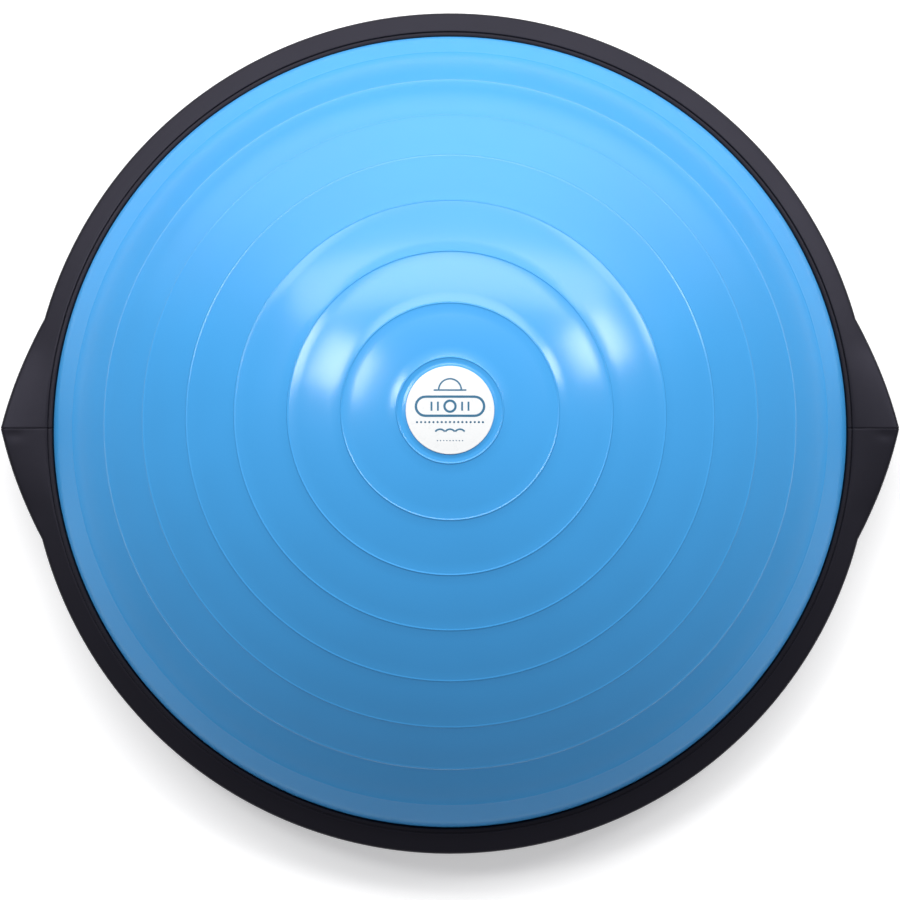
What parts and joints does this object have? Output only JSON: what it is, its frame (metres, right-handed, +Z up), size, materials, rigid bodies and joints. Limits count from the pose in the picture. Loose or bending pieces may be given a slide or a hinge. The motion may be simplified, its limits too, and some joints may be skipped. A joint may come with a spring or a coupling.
{
  "type": "balance dome trainer",
  "caption": "Inflated dome with raised ring lines, clamped to a rigid round platform with a bumper rim, two pointed grip tabs, rubber feet and a pull-out air plug underneath.",
  "frame": {"origin": "on the floor at the middle of the footprint, under the dome's crown", "axes": "+Z up through the crown; +X and -X out through the points of the two grip tabs; the air valve is under the platform towards -Y"},
  "size_m": [0.692, 0.6498, 0.2159],
  "materials": {
    "dome_pvc": "glossy soft PVC, bright sky blue",
    "badge_enamel": "glossy white",
    "rim_plastic": "satin near-black with a fine grain",
    "clamp_nylon": "natural nylon",
    "seal_rubber": "matt black",
    "deck_plastic": "matt dark grey",
    "platform_plastic": "satin near-black with a coarse grain",
    "grip_rubber": "matt dark grey",
    "foot_rubber": "matt black",
    "screw_steel": "zinc-plated",
    "valve_plastic": "light grey",
    "plug_rubber": "off-white, slightly soft"
  },
  "bodies": {
    "platform": {"rim_rear": "rim_plastic", "rim_front": "rim_plastic", "clamp_ring": "clamp_nylon", "bead_seal": "seal_rubber", "deck_plate": "deck_plastic", "platform_shell": "platform_plastic", "grip_pad_left": "grip_rubber", "grip_pad_right": "grip_rubber", "foot_screws": "screw_steel", "clamp_screws": "screw_steel", "rim_screws": "screw_steel", "valve_body": "valve_plastic", "valve_washer": "seal_rubber", "valve_nut": "valve_plastic", "foot_1": "foot_rubber", "foot_2": "foot_rubber", "foot_3": "foot_rubber", "foot_4": "foot_rubber", "foot_5": "foot_rubber", "foot_6": "foot_rubber", "foot_7": "foot_rubber", "foot_8": "foot_rubber"},
    "dome": {"dome_shell": "dome_pvc", "dome_badge": "badge_enamel"},
    "plug": {"valve_plug": "plug_rubber"}
  },
  "joints": [
    {"name": "dome_press", "type": "slide", "parent": "platform", "child": "dome", "axis": [0, 0, -1], "range_m": [0, 0.06], "stiffness_N_per_m": 13300, "deforming": ["dome_shell"]},
    {"name": "plug_pull", "type": "slide", "parent": "platform", "child": "plug", "axis": [0, 0, -1], "range_m": [0, 0.015]}
  ]
}
